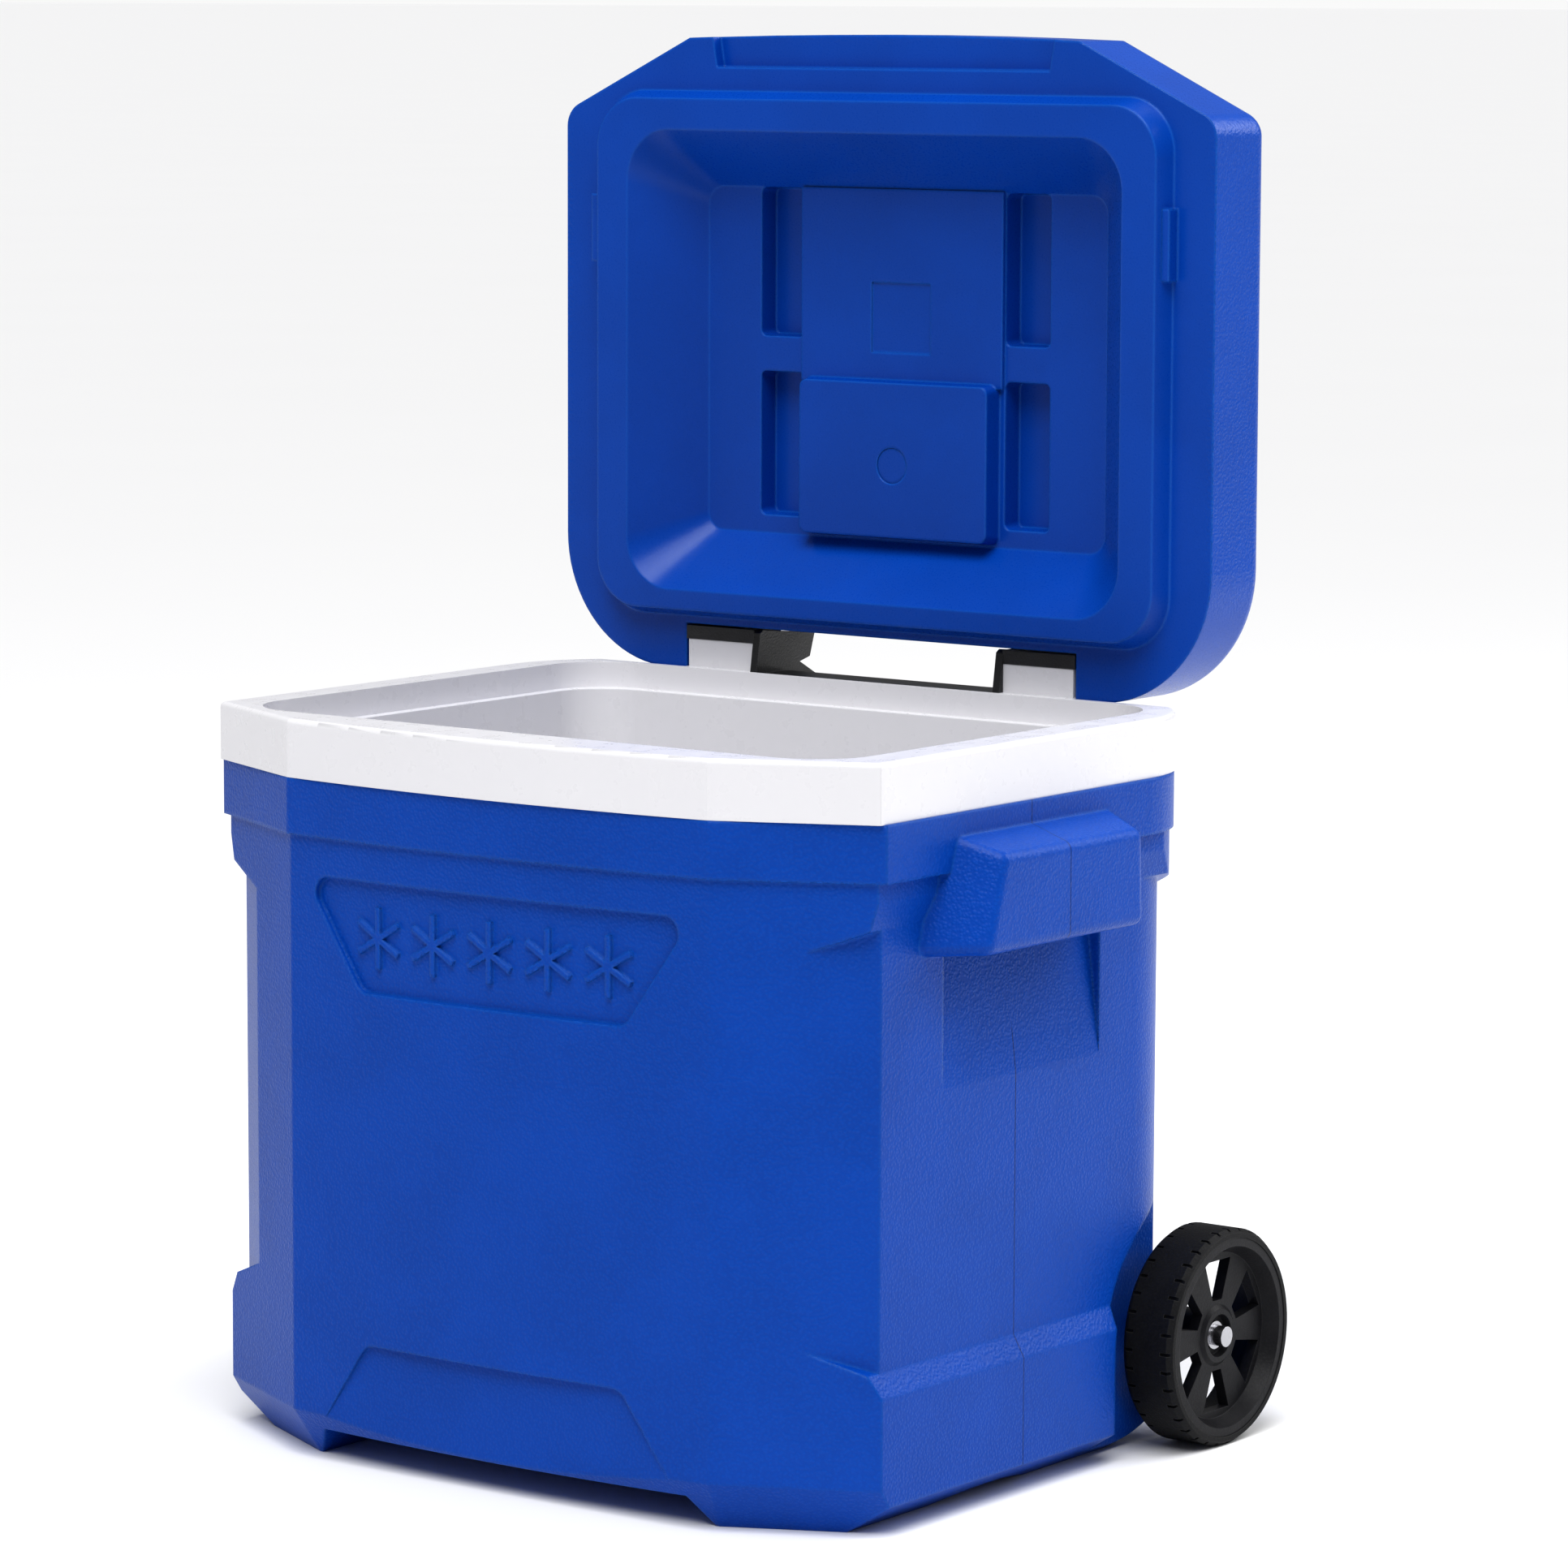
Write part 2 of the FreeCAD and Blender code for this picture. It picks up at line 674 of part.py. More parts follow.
def collar_room():
    """Foam's room under the collar's deck."""
    if "collar" not in shared:
        room = chest_prism("collar_room", collar_outline("liner_wall"), "seam_height",
                           "strip_low - liner_wall - seam_height", "rear_corner_radius + 2")
        shared["collar"] = room
    return shared["collar"]


def cavity_skin():
    if "skin" not in shared:
        shared["skin"] = cavity("cavity_skin", "liner_wall")
    return shared["skin"]


def tongue_ring(name):
    """The collar's tongue, a ring that stands just inside the shell's top edge."""
    rings = []
    for part, skin, low, high in (("outer", "wall - band_grow", "10", "3"),
                                  ("inner", "wall - band_grow + 2", "11", "4")):
        rings.append(chest_prism("%s_%s" % (name, part), shell_outline(skin), "seam_height - " + low,
                                 "%s + %s" % (low, high), "rear_corner_radius - (%s)" % skin))
    return cut(name, *rings)


def inner_liner():
    collar = chest_prism("collar", collar_outline("0"), "seam_height", "rim_height - seam_height",
                         "rear_corner_radius + 4")
    round_edges(collar, "2.5", at_height(number("rim_height")))
    tongue = tongue_ring("tongue")
    boss = box("hinge_boss", "boss_inner", "boss_outer", "boss_front", "collar_rear - 1",
               "strip_low - 2", "boss_top")
    limits = common("skin_limit", cavity_skin(),
                    box("skin_box", "-250", "250", "-250", "250", "0", "rim_height"))
    solid = fuse("liner_full", cut("collar_shell", collar, collar_room()), tongue, limits)
    deck = rod("deck_relief", "deck_radius", "boss_outer + 0.8", "collar_half_width + 5",
               "hinge_back", "hinge_height")
    deck_back = box("deck_back", "boss_outer + 0.8", "collar_half_width + 5", "hinge_back",
                    "collar_rear + 5", "hinge_height - deck_radius", "rim_height + 5")
    relief = fuse("deck_cut", deck, deck_back)
    strip = box("strip_seat", "-boss_inner", "boss_inner", "boss_front - 3.5", "collar_rear + 5",
                "strip_low", "rim_height + 1")
    base = cut("liner_cut", solid, cavity("cavity_air", "0"), relief, mirrored("other_deck", relief), strip)
    bored = cut("liner_bored", fuse("liner_bosses", base, boss, mirrored("other_boss", boss)),
                *hinge_holes())
    keep(bored, "inner_liner")


def hinge_holes():
    holes = []
    for side in (-1, 1):
        ends = ("pin_inner", "pin_outer") if side > 0 else ("-pin_outer", "-pin_inner")
        holes.append(rod("boss_bore", "pin_radius", ends[0], ends[1], "hinge_back", "hinge_height"))
        holes.append(rod("cap_hole", "screw_shank_radius", "strip_low", "cap_top",
                         "%d * 84" % side, "hinge_back + 1", "Z"))
    return holes


# ---------------------------------------------------------------- foam
def body_foam():
    room = fuse("foam_block", foam_room(), collar_room())
    tunnel = rod("tunnel_clear", "axle_radius + 4.5", "-250", "250", "wheel_back", "tyre_radius")
    ring = tongue_ring("tongue_space")
    above = box("foam_limit", "-250", "250", "-250", "250", "0", "strip_low - liner_wall")
    plug = rod("base_plug_room", "foam_plug_radius + 3", "0", "floor_height + wall + 4", "0", "0", "Z")
    foam = cut("foam_cut", room, cavity_skin(), tunnel, ring, plug, *fixing_holes())
    keep(common("body_foam_solid", foam, above), "body_foam")
    plug_body = new_body("base_foam_plug")
    pad(plug_body, draw_circle(plug_body, "base_plug_face", "XY_Plane", "0", "0",
                               "foam_plug_radius + 2.9", "floor_height - 0.6"), "wall + 4")
    keep(plug_body, "base_foam_plug")


# ---------------------------------------------------------------- lid
def lid_prism(name, skin, start, length):
    body = prism(name, "XY_Plane",
                 chest_outline("lid_half_width", "lid_front", "lid_front_half", "lid_bow",
                               "lid_corner_front", "lid_rear", skin), start, length)
    round_edges(body, "rear_corner_radius + 3 - (%s)" % skin, upright_behind(0))
    round_edges(body, "lid_corner_radius - (%s)" % skin, upright_near(number("lid_corner_front")))
    return body


def lid_well(name, skin):
    """The hollow in the lid's underside, grown by skin: a drafted basin with four deeper
    pockets, round a raised centre."""
    basin = drafted_block(name + "_basin", "well_half_width + (%s)" % skin,
                          "well_front - (%s)" % skin, "well_rear + (%s)" % skin,
                          "rim_height - plug_drop", "well_top + (%s)" % skin, "25", "well_draft", "9")
    pockets = []
    for across, (left, right) in enumerate((("pocket_inner", "pocket_outer"),
                                            ("-pocket_outer", "-pocket_inner"))):
        for back, (low, high) in enumerate((("front_pocket_low", "front_pocket_high"),
                                            ("rear_pocket_low", "rear_pocket_high"))):
            corners = [(left + " - (%s)" % skin, low + " - (%s)" % skin),
                       (right + " + (%s)" % skin, low + " - (%s)" % skin),
                       (right + " + (%s)" % skin, high + " + (%s)" % skin),
                       (left + " - (%s)" % skin, high + " + (%s)" % skin)]
            pocket = prism("%s_pocket_%d%d" % (name, across, back), "XY_Plane", corners,
                           "block_face", "pocket_top + (%s) - block_face" % skin, "-3")
            round_edges(pocket, "3 + (%s)" % skin, upright)
            pockets.append(pocket)
    block = prism(name + "_block", "XY_Plane",
                  [("-(block_half_width - (%s))" % skin, "block_front + (%s)" % skin),
                   ("block_half_width - (%s)" % skin, "block_front + (%s)" % skin),
                   ("block_half_width - (%s)" % skin, "block_rear - (%s)" % skin),
                   ("-(block_half_width - (%s))" % skin, "block_rear - (%s)" % skin)],
                  "block_face + (%s)" % skin, "lid_top - block_face", "8")
    round_edges(block, "4", upright)
    pad_block = box(name + "_pad", "-(pocket_inner - (%s))" % skin, "pocket_inner - (%s)" % skin,
                    "front_pocket_low + (%s)" % skin, "block_front + (%s) + 1" % skin,
                    "pad_face + (%s)" % skin, "lid_top")
    return cut(name, fuse(name + "_open", basin, *pockets), block, pad_block)


def lid_form(name, skin):
    """The lid's outside, shut, drawn in by skin, with its plug below and hinge notch behind."""
    main = lid_prism(name + "_main", skin, "rim_height + (%s)" % skin,
                     "lid_top - rim_height - 2 * (%s)" % skin)
    round_edges(main, "9 - (%s)" % skin, at_height(number("lid_top - (%s)" % skin)))
    plug = drafted_block(name + "_plug", "plug_half_width - (%s)" % skin, "plug_front + (%s)" % skin,
                         "plug_rear - (%s)" % skin, "rim_height + 4",
                         "rim_height - plug_drop + (%s)" % skin, "plug_radius", "plug_draft",
                         "plug_radius - 2")
    full = fuse(name + "_full", main, plug)
    notch_side = "notch_half + (%s)" % skin
    notch = box(name + "_notch", "-(%s)" % notch_side, notch_side, "notch_front - (%s)" % skin,
                "lid_rear + 10", "rim_height - 5", "lid_top + 5")
    sweep = rod(name + "_sweep", "notch_radius + (%s)" % skin, "-(%s)" % notch_side, notch_side,
                "hinge_back", "hinge_height")
    tray = rounded_block(name + "_tray", "lid_half_width - 34 + (%s)" % skin,
                         "lid_front + 34 - (%s)" % skin, "lid_rear - 44 + (%s)" % skin,
                         "lid_top - tray_depth - (%s)" % skin, "lid_top + 20", "30")
    lip = prism(name + "_lip", "XY_Plane",
                [("-lip_half_width - (%s) - 6" % skin, "lid_front - 20"),
                 ("lip_half_width + (%s) + 6" % skin, "lid_front - 20"),
                 ("lip_half_width + (%s)" % skin, "lid_front - lid_bow + lip_depth + (%s)" % skin),
                 ("-lip_half_width - (%s)" % skin, "lid_front - lid_bow + lip_depth + (%s)" % skin)],
                "rim_height - 1", "lip_rise + 1 + (%s)" % skin)
    return cut(name + "_form", full, notch, sweep, tray, lip)


def open_turn():
    """Turns a shut lid to its rest, a right angle open round the hinge pins."""
    axis = Vector(0, number("hinge_back"), number("hinge_height"))
    return Placement(Vector(), Rotation(Vector(1, 0, 0), -90), axis)


def pin_sockets(name, radius, end):
    sockets = []
    for side in (-1, 1):
        ends = ("notch_half - 2", end) if side > 0 else ("-(%s)" % end, "-(notch_half - 2)")
        sockets.append(rod(name, radius, ends[0], ends[1], "hinge_back", "hinge_height"))
    return sockets


def lid():
    shell_blank = lid_form("lid_outside", "0")
    room = lid_form("lid_inside", "lid_wall")
    well = lid_well("lid_well", "0")
    well_back = lid_well("well_back", "lid_wall")
    foam_hole = rod("lid_plug_room", "foam_plug_radius + 0.1", "block_face - 1", "block_face + 8",
                    "0", "plug_hole_back", "Z")
    hull = pin_sockets("socket_hull", "pin_radius + 3.4", "pin_outer + 4")
    foam = cut("lid_foam_solid", room, well_back, foam_hole, *hull)
    bores = pin_sockets("socket_bore", "pin_radius + running_gap", "pin_outer + 1")
    stubs = [common("socket_stub", item, box("stub_box", "-250", "250", "notch_front", "lid_rear",
                                             "rim_height", "lid_top")) for item in hull]
    trimmed = cut("socket_stubs", fuse("stub_pair", *stubs),
                  box("stub_clear", "-notch_half", "notch_half", "0", "300", "0", "500"))
    pads = []
    for side in (-1, 1):
        middle = "%d * (plug_half_width - 1.2)" % side
        pads.append(box("detent_pad", "%s - 2" % middle, "%s + 2" % middle, "-63.5", "-30.5",
                        "rim_height - 7", "rim_height + 3"))
    emblem = box("emblem_field", "-emblem_half", "emblem_half", "emblem_front", "emblem_rear",
                 "pad_face - 1", "pad_face + 0.9")
    blank = fuse("lid_blank", cut("lid_walls", shell_blank, foam), trimmed, *pads)
    keep(cut("lid_shell_solid", blank, well, foam_hole, emblem, *bores), "lid_shell", open_turn())
    slim_room = lid_form("foam_room_slim", "lid_wall + foam_gap")
    slim_well = lid_well("foam_well_slim", "lid_wall + foam_gap")
    keep(cut("lid_foam_kept", common("lid_foam_core", foam, slim_room), slim_well, *pads),
         "lid_foam", open_turn())
    plug = new_body("lid_foam_plug")
    pad(plug, draw_circle(plug, "lid_plug_face", "XY_Plane", "0", "plug_hole_back",
                          "foam_plug_radius", "block_face + 0.4"), "7.5")
    keep(plug, "lid_foam_plug", open_turn())


# ---------------------------------------------------------------- hinge bracket and pins
def hinge_bracket():
    """The black moulding behind: a cap on each hinge boss, two cheeks, the strip between
    them, and the block that guides the handle's tubes."""
    cheek_inner = "boss_inner - cheek_wall"
    cheek = prism("cheek", "YZ_Plane",
                  [("boss_front - 3.3", "strip_low"), ("collar_rear + 0.6", "strip_low"),
                   ("collar_rear + 0.6", "guide_low"), ("tube_back + 12", "guide_low"),
                   ("tube_back + 12", "bar_top - 12"), ("197", "bar_top + 2"), ("197", "335"),
                   ("195.7", "337.1"), ("182", "344.2"), ("190.2", "346.2"), ("194", "357.6"),
                   ("170", "360"), ("152", "cap_top"), ("boss_front - 0.4", "cap_top - 1.5"),
                   ("boss_front - 3.3", "341.9")],
                  cheek_inner, "cheek_wall")
    cap = box("cap", "boss_inner - 0.1", "notch_half - 0.5", "boss_front - 0.4", "collar_rear + 4.4",
              "boss_top", "cap_top")
    cap_lip = box("cap_lip", "boss_inner - 0.1", "notch_half - 0.5", "collar_rear + 0.6",
                  "collar_rear + 4.4", "guide_low + 20", "boss_top + 1")
    side = fuse("bracket_side", cheek, cap, cap_lip)
    strip = box("strip", "-boss_inner", "boss_inner", "boss_front - 3.3", "collar_rear + 4.4",
                "strip_low", "strip_top")
    back_plate = box("back_plate", "-boss_inner", "boss_inner", "collar_rear + 0.6",
                     "collar_rear + 4.4", "guide_low", "strip_top")
    guide = box("guide", "-boss_inner", "boss_inner", "collar_rear + 0.6", "tube_back + 12",
                "guide_low", "guide_top")
    foot = box("guide_foot", "-38", "38", "shell_rear", "collar_rear + 1", "guide_low", "band_low")
    whole = fuse("bracket_full", side, mirrored("bracket_other_side", side), strip, back_plate, guide, foot)
    holes = []
    for hand in (-1, 1):
        across = "%d * tube_half_spacing" % hand
        holes.append(rod("guide_seat", "outer_tube_radius + 0.02", "guide_low - 1", "guide_top - 6",
                         across, "tube_back", "Z"))
        holes.append(rod("guide_bore", "middle_tube_radius + slide_gap", "guide_low - 1",
                         "guide_top + 1", across, "tube_back", "Z"))
        holes.append(rod("cap_screw_hole", "screw_shank_radius", "boss_top - 1", "cap_top + 1",
                         "%d * 84" % hand, "hinge_back + 1", "Z"))
        holes.append(rod("cap_screw_sink", "screw_head_radius", "cap_top - screw_head_height",
                         "cap_top + 1", "%d * 84" % hand, "hinge_back + 1", "Z"))
        holes.append(rod("guide_screw_hole", "screw_shank_radius", "shell_rear - 1",
                         "tube_back + 20", "%d * 28" % hand, "guide_low + 10", "Y"))
        holes.append(rod("guide_screw_sink", "screw_head_radius + 0.6", "collar_rear + 12",
                         "tube_back + 20", "%d * 28" % hand, "guide_low + 10", "Y"))
    keep(cut("bracket_solid", whole, *holes), "hinge_bracket")


def hinge_pins():
    for hand, name in ((-1, "left"), (1, "right")):
        pin = new_body("hinge_pin_" + name)
        start = "pin_inner" if hand > 0 else "-pin_outer"
        face = draw_circle(pin, "pin_face_" + name, "YZ_Plane", "hinge_back", "hinge_height",
                           "pin_radius", start)
        pad(pin, face, "pin_outer - pin_inner")
        keep(pin, "hinge_pin_" + name)


def screw(name, across, head_face, up, along, shank):
    """A pan-head screw. Along Z its head faces up, along Y its head faces back."""
    if along == "Z":
        head = rod(name + "_head", "screw_head_radius", "%s - screw_head_height" % head_face,
                   head_face, across, up, "Z")
        body = rod(name + "_shank", "screw_shank_radius", "%s - (%s)" % (head_face, shank),
                   "%s - screw_head_height / 2" % head_face, across, up, "Z")
        slots = [box(name + "_slot", "%s - 2" % across, "%s + 2" % across, "%s - 0.4" % up,
                     "%s + 0.4" % up, "%s - 1" % head_face, "%s + 1" % head_face),
                 box(name + "_slot", "%s - 0.4" % across, "%s + 0.4" % across, "%s - 2" % up,
                     "%s + 2" % up, "%s - 1" % head_face, "%s + 1" % head_face)]
    else:
        head = rod(name + "_head", "screw_head_radius", head_face,
                   "%s + screw_head_height" % head_face, across, up, "Y")
        body = rod(name + "_shank", "screw_shank_radius", "%s - (%s)" % (head_face, shank),
                   "%s + screw_head_height / 2" % head_face, across, up, "Y")
        slots = [box(name + "_slot", "%s - 2" % across, "%s + 2" % across,
                     "%s + screw_head_height - 1" % head_face, "%s + screw_head_height + 1" % head_face,
                     "%s - 0.4" % up, "%s + 0.4" % up),
                 box(name + "_slot", "%s - 0.4" % across, "%s + 0.4" % across,
                     "%s + screw_head_height - 1" % head_face, "%s + screw_head_height + 1" % head_face,
                     "%s - 2" % up, "%s + 2" % up)]
    return cut(name, fuse(name + "_blank", head, body), *slots)


def screws():
    groups = (("hinge_cap_screws", "84", "cap_top", "hinge_back + 1", "Z", "cap_top - strip_low - 2"),
              ("guide_screws", "28", "collar_rear + 12", "guide_low + 10", "Y",
               "collar_rear - shell_rear + 22"),
              ("foot_bracket_screws", "28", "shell_rear + 4", "foot_bracket_low + 13", "Y", "14"))
    for label, across, face, up, along, shank in groups:
        pair = [screw("%s_%d" % (label, hand), "(%d * %s)" % (hand, across), "(%s)" % face,
                      "(%s)" % up, along, shank) for hand in (-1, 1)]
        keep(fuse(label + "_pair", *pair), label)


# ---------------------------------------------------------------- telescoping handle
def tube(name, radius, wall, low, high, across):
    body = new_body(name)
    outer = draw_circle(body, name + "_outer", "XY_Plane", across, "tube_back", radius, low)
    pad(body, outer, "(%s) - (%s)" % (high, low))
    bore = draw_circle(body, name + "_bore", "XY_Plane", across, "tube_back",
                       "%s - (%s)" % (radius, wall), "(%s) - 1" % low)
    hollow = body.newObject("PartDesign::Pocket", name + "_hollow")
    hollow.Profile = bore
    hollow.Reversed = True
    hollow.setExpression("Length", linked("(%s) - (%s) + 2" % (high, low)))
    document.recompute()
    return body


def handle_tubes():
    middle_low = "tube_bottom + 6"
    inner_low = "tube_bottom + 10"
    middle_top = "guide_top + 1"
    for hand, name in ((-1, "left"), (1, "right")):
        across = "%d * tube_half_spacing" % hand
        keep(tube("outer_tube_" + name, "outer_tube_radius", "tube_wall", "tube_bottom",
                  "guide_top - 6", across), "outer_tube_" + name)
        keep(tube("middle_tube_" + name, "middle_tube_radius", "tube_wall", middle_low,
                  middle_top, across), "middle_tube_" + name)
        keep(tube("inner_tube_" + name, "inner_tube_radius", "tube_wall", inner_low,
                  "bar_low + 12", across), "inner_tube_" + name)
    outer_bore = "outer_tube_radius - tube_wall - slide_gap"
    middle_bore = "middle_tube_radius - tube_wall - slide_gap"
    rings = (("middle_tube_glides", outer_bore, "middle_tube_radius", middle_low, "glide_height"),
             ("inner_tube_glides", middle_bore, "inner_tube_radius", inner_low, "glide_height"),
             ("middle_tube_collars", "outer_tube_radius", "inner_tube_radius + slide_gap",
              middle_top, "collar_height"))
    for label, radius, bore, low, height in rings:
        pair = []
        for hand in (-1, 1):
            across = "%d * tube_half_spacing" % hand
            ring = rod("ring", radius, low, "(%s) + %s" % (low, height), across, "tube_back", "Z")
            hole = rod("ring_hole", bore, "(%s) - 1" % low, "(%s) + %s + 1" % (low, height), across,
                       "tube_back", "Z")
            pair.append(cut("ring_cut", ring, hole))
        keep(fuse(label + "_pair", *pair), label)


def handle_grip():
    """The crossbar that joins the inner tubes, hollowed below for the fingers."""
    body = rounded_block("grip_bar", "bar_half_width", "tube_back - bar_depth / 2",
                         "tube_back + bar_depth / 2", "bar_low", "bar_top", "7")
    round_edges(body, "5", at_height(number("bar_top")))
    hollow = box("bar_hollow", "-(tube_half_spacing - 12)", "tube_half_spacing - 12",
                 "tube_back - bar_depth", "tube_back + bar_depth", "bar_low - 1", "bar_low + 8")
    seats = [rod("bar_seat", "inner_tube_radius", "bar_low - 1", "bar_low + 12",
                 "%d * tube_half_spacing" % hand, "tube_back", "Z") for hand in (-1, 1)]
    keep(cut("grip_bar_cut", body, hollow, *seats), "handle_grip")


def foot_bracket():
    """The lower bracket: a plate on the rear wall and a cup for each outer tube."""
    plate = box("foot_plate", "-38", "38", "shell_rear", "shell_rear + 4", "foot_bracket_low",
                "foot_bracket_top")
    beam = box("foot_beam", "-(tube_half_spacing + 12)", "tube_half_spacing + 12", "shell_rear",
               "tube_back + 12", "foot_bracket_low", "foot_bracket_low + 5")
    ribs = []
    cuts = []
    for hand in (-1, 1):
        across = "%d * tube_half_spacing" % hand
        ribs.append(rod("foot_cup", "outer_tube_radius + 2.5", "foot_bracket_low",
                        "foot_bracket_top", across, "tube_back", "Z"))
        ribs.append(box("foot_rib", "%s - 2" % across, "%s + 2" % across, "shell_rear",
                        "tube_back - 8", "foot_bracket_low", "foot_bracket_top - 4"))
        cuts.append(rod("foot_seat", "outer_tube_radius", "tube_bottom", "foot_bracket_top + 1",
                        across, "tube_back", "Z"))
        cuts.append(rod("foot_hole", "screw_shank_radius", "shell_rear - 1", "shell_rear + 6",
                        "%d * 28" % hand, "foot_bracket_low + 13", "Y"))
    keep(cut("foot_bracket_cut", fuse("foot_full", plate, beam, *ribs), *cuts), "foot_bracket")


# ---------------------------------------------------------------- wheels
def turned(name, profile, hand):
    """A ring turned round the axle. The profile runs in (distance out along X, radius)."""
    points = [Vector(hand * number(out), number("wheel_back"), number("tyre_radius") + number(radius))
              for out, radius in profile]
    face = Part.Face(Part.makePolygon(points + [points[0]]))
    centre = Vector(0, number("wheel_back"), number("tyre_radius"))
    item = document.addObject("Part::Feature", name)
    item.Shape = face.revolve(centre, Vector(1, 0, 0), 360)
    return item


def wheel(hand, name):
    bore = "axle_radius + axle_clearance"
    rim = turned("rim_" + name, [
        ("wheel_inner + 0.8", "rim_radius - 5"), ("web_inner", "rim_radius - 7"),
        ("web_inner", "hub_radius"), ("wheel_inner", "hub_radius - 1.5"), ("wheel_inner", bore),
        ("hub_face - 3.5", bore), ("hub_face - 3.5", "hub_radius - 3.5"), ("hub_face", "hub_radius - 2.5"),
        ("hub_face", "hub_radius"), ("web_outer", "hub_radius + 2"), ("web_outer", "rim_radius - 7.5"),
        ("wheel_outer - 0.4", "rim_radius - 4"), ("wheel_outer - 0.4", "rim_radius"),
        ("wheel_inner + 0.8", "rim_radius")], hand)
    windows = []
    for place in range(6):
        middle = math.radians(60 * place + 30)
        corners = []
        for radius, half in (("hub_radius + 4.5", 13), ("rim_radius - 9.5", 17), ("rim_radius - 9.5", -17),
                             ("hub_radius + 4.5", -13)):
            angle = middle + math.radians(half)
            corners.append(Vector(hand * (number("web_inner") - 3),
                                  number("wheel_back") + number(radius) * math.cos(angle),
                                  number("tyre_radius") + number(radius) * math.sin(angle)))
        opening = document.addObject("Part::Feature", "window")
        opening.Shape = Part.Face(Part.makePolygon(corners + [corners[0]])).extrude(Vector(hand * 14, 0, 0))
        windows.append(opening)
    keep(cut("wheel_cut_" + name, rim, *windows), "wheel_" + name)
    tread = turned("tread_" + name, [
        ("wheel_inner", "rim_radius"), ("wheel_outer", "rim_radius"), ("wheel_outer", "tyre_radius - 2"),
        ("wheel_outer - 2.5", "tyre_radius"), ("wheel_inner + 2.5", "tyre_radius"),
        ("wheel_inner", "tyre_radius - 2")], hand)
    cuts = []
    for place in range(int(number("lug_count"))):
        for start, end in (("wheel_inner - 1", "wheel_inner + 6"), ("wheel_outer - 6", "wheel_outer + 1")):
            slot = Part.makeBox(number(end) - number(start), 1.6, 4)
            low = hand * number(start) if hand > 0 else -number(end)
            slot.translate(Vector(low, -0.8, number("tyre_radius - lug_cut")))
            slot.rotate(Vector(), Vector(1, 0, 0), place * 360 / number("lug_count"))
            slot.translate(Vector(0, number("wheel_back"), number("tyre_radius")))
            cuts.append(slot)
    item = document.addObject("Part::Feature", "tyre_solid_" + name)
    item.Shape = tread.Shape.cut(Part.makeCompound(cuts))
    keep(item, "tyre_" + name)
    washer = cut("washer_cut_" + name,
                 rod("washer_" + name, "hub_radius - 4", *span(hand, "well_wall + 8.1", "wheel_inner - 0.3"),
                     "wheel_back", "tyre_radius"),
                 rod("washer_hole_" + name, "axle_radius + axle_clearance", "-300", "300", "wheel_back",
                     "tyre_radius"))
    keep(washer, "axle_washer_" + name)
    cap = fuse("cap_full_" + name,
               rod("cap_rim_" + name, "axle_radius + 2.6", *span(hand, "hub_face - 3.2", "hub_face - 2.2"),
                   "wheel_back", "tyre_radius"),
               rod("cap_dome_" + name, "axle_radius + 0.8", *span(hand, "hub_face - 2.4", "axle_end + 1"),
                   "wheel_back", "tyre_radius"))
    hollow = rod("cap_hollow_" + name, "axle_radius", *span(hand, "hub_face - 4", "axle_end"),
                 "wheel_back", "tyre_radius")
    keep(cut("axle_cap_cut_" + name, cap, hollow), "axle_cap_" + name)


def span(hand, start, end):
    return (start, end) if hand > 0 else ("-(%s)" % end, "-(%s)" % start)


def axle():
    body = new_body("axle")
    pad(body, draw_circle(body, "axle_face", "YZ_Plane", "wheel_back", "tyre_radius", "axle_radius"),
        "2 * axle_end", both=True)
    keep(body, "axle")


outer_shell()
inner_liner()
body_foam()
lid()
hinge_bracket()
hinge_pins()
screws()
handle_tubes()
handle_grip()
foot_bracket()
axle()
for side, side_name in ((-1, "left"), (1, "right")):
    wheel(side, side_name)
document.recompute()

for item in document.Objects:
    if "Invalid" in item.State or "Error" in item.State:
        raise RuntimeError("%s did not build: %s" % (item.Label, item.State))
for item in nodes:
    if item.Shape.isNull() or not item.Shape.isValid():
        raise RuntimeError("%s has no valid shape" % item.Label)
    item.Shape.exportStep("parts/%s.step" % item.Label)
    print(item.Label, len(item.Shape.Solids), round(item.Shape.Volume), item.Shape.BoundBox)
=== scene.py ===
import bpy
import bmesh
import math
from mathutils import Matrix, Vector


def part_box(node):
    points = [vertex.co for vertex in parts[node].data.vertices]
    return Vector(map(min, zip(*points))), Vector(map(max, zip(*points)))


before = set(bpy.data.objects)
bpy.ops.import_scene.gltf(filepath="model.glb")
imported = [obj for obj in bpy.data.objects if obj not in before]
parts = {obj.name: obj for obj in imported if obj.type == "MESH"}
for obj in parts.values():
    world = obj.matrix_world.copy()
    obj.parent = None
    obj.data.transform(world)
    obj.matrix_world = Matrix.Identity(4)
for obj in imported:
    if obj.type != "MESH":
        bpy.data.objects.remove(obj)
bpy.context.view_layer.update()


def addNode(tree, kind, settings=None, inputs=None):
    node = tree.nodes.new(kind)
    for name, value in (settings or {}).items():
        setattr(node, name, value)
    for name, value in (inputs or {}).items():
        node.inputs[name].default_value = value
    return node


def wire(tree, source, output, target, socket):
    tree.links.new(source.outputs[output], target.inputs[socket])


def startMaterial(name, tint):
    material = bpy.data.materials.new(name)
    material.use_nodes = True
    material.diffuse_color = (*tint, 1)
    tree = material.node_tree
    return material, tree, tree.nodes["Principled BSDF"]


def rangeOf(tree, source, output, fromLow, fromHigh, toLow, toHigh):
    span = addNode(tree, "ShaderNodeMapRange", {"clamp": True, "interpolation_type": "SMOOTHSTEP"},
                   {"From Min": fromLow, "From Max": fromHigh, "To Min": toLow, "To Max": toHigh})
    wire(tree, source, output, span, "Value")
    return span


